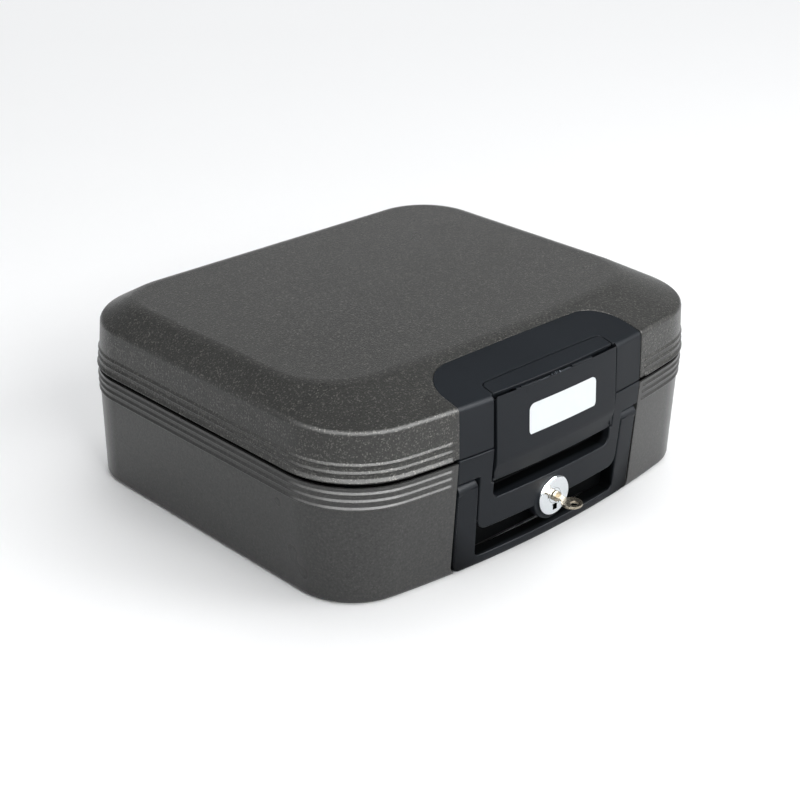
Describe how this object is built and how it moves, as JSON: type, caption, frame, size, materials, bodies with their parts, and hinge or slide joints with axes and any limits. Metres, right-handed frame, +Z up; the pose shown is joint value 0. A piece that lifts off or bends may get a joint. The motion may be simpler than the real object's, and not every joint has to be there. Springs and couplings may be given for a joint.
{
  "type": "fireproof chest",
  "caption": "Free-standing fire-resistant document chest with a hinged lid, a front latch flap, a round key lock with its key and a fold-down carrying handle.",
  "frame": {"origin": "on the flat bottom face, under the middle of the seam's outline", "axes": "+Z up, -Y towards the front with the latch and the lock, +X to the right as seen from above with the front towards the viewer"},
  "size_m": [0.3928, 0.3759, 0.15],
  "materials": {
    "shell_graphite": "fine-grained graphite with a light metallic sparkle",
    "black_plastic": "finely textured black",
    "liner_plastic": "smooth dark gray",
    "filling": "cast, porous, pale",
    "seal_rubber": "soft matt black",
    "steel": "zinc plated",
    "chrome": "bright chrome",
    "key_nickel": "nickel-plated brass",
    "label": "white satin film"
  },
  "bodies": {
    "base": {"base_shell": "shell_graphite", "base_insulation": "filling", "base_liner": "liner_plastic", "seal_gasket": "seal_rubber", "front_panel": "black_plastic", "strike_plate": "steel", "strike_screw_1": "steel", "strike_screw_2": "steel", "lock_housing": "chrome", "lock_nut": "steel", "handle_pin_left": "steel", "handle_pin_right": "steel", "hinge_base_leaf_left": "steel", "hinge_base_leaf_right": "steel", "hinge_pin_left": "steel", "hinge_pin_right": "steel", "hinge_screw_1": "steel", "hinge_screw_3": "steel", "hinge_screw_5": "steel", "hinge_screw_7": "steel"},
    "lid": {"lid_shell": "shell_graphite", "lid_insulation": "filling", "lid_liner": "liner_plastic", "lid_bezel": "black_plastic", "latch_cap": "black_plastic", "latch_pin": "steel", "latch_spring": "steel", "hinge_lid_leaf_left": "steel", "hinge_lid_leaf_right": "steel", "hinge_screw_2": "steel", "hinge_screw_4": "steel", "hinge_screw_6": "steel", "hinge_screw_8": "steel"},
    "latch": {"latch": "black_plastic", "latch_label": "label"},
    "handle": {"handle": "black_plastic"},
    "lock": {"lock_plug": "chrome", "lock_cam": "steel", "cam_screw": "steel"},
    "key": {"key": "key_nickel"}
  },
  "joints": [
    {"name": "lid_hinge", "type": "hinge", "parent": "base", "child": "lid", "pos_m": [0, 0.177, 0.0965], "axis": [-1, 0, 0], "range_deg": [0, 100]},
    {"name": "latch_hinge", "type": "hinge", "parent": "lid", "child": "latch", "pos_m": [0, -0.1625, 0.1308], "axis": [-1, 0, 0], "range_deg": [0, 25], "stiffness_Nm_per_rad": 0.05, "springref_deg": -11.46},
    {"name": "handle_hinge", "type": "hinge", "parent": "base", "child": "handle", "pos_m": [0, -0.158, 0.069], "axis": [-1, 0, 0], "range_deg": [0, 90]},
    {"name": "lock_turn", "type": "hinge", "parent": "base", "child": "lock", "pos_m": [0, -0.16, 0.0344], "axis": [0, -1, 0], "range_deg": [0, 90]},
    {"name": "key_slide", "type": "slide", "parent": "lock", "child": "key", "axis": [0, -1, 0], "range_m": [0, 0.0155]}
  ]
}
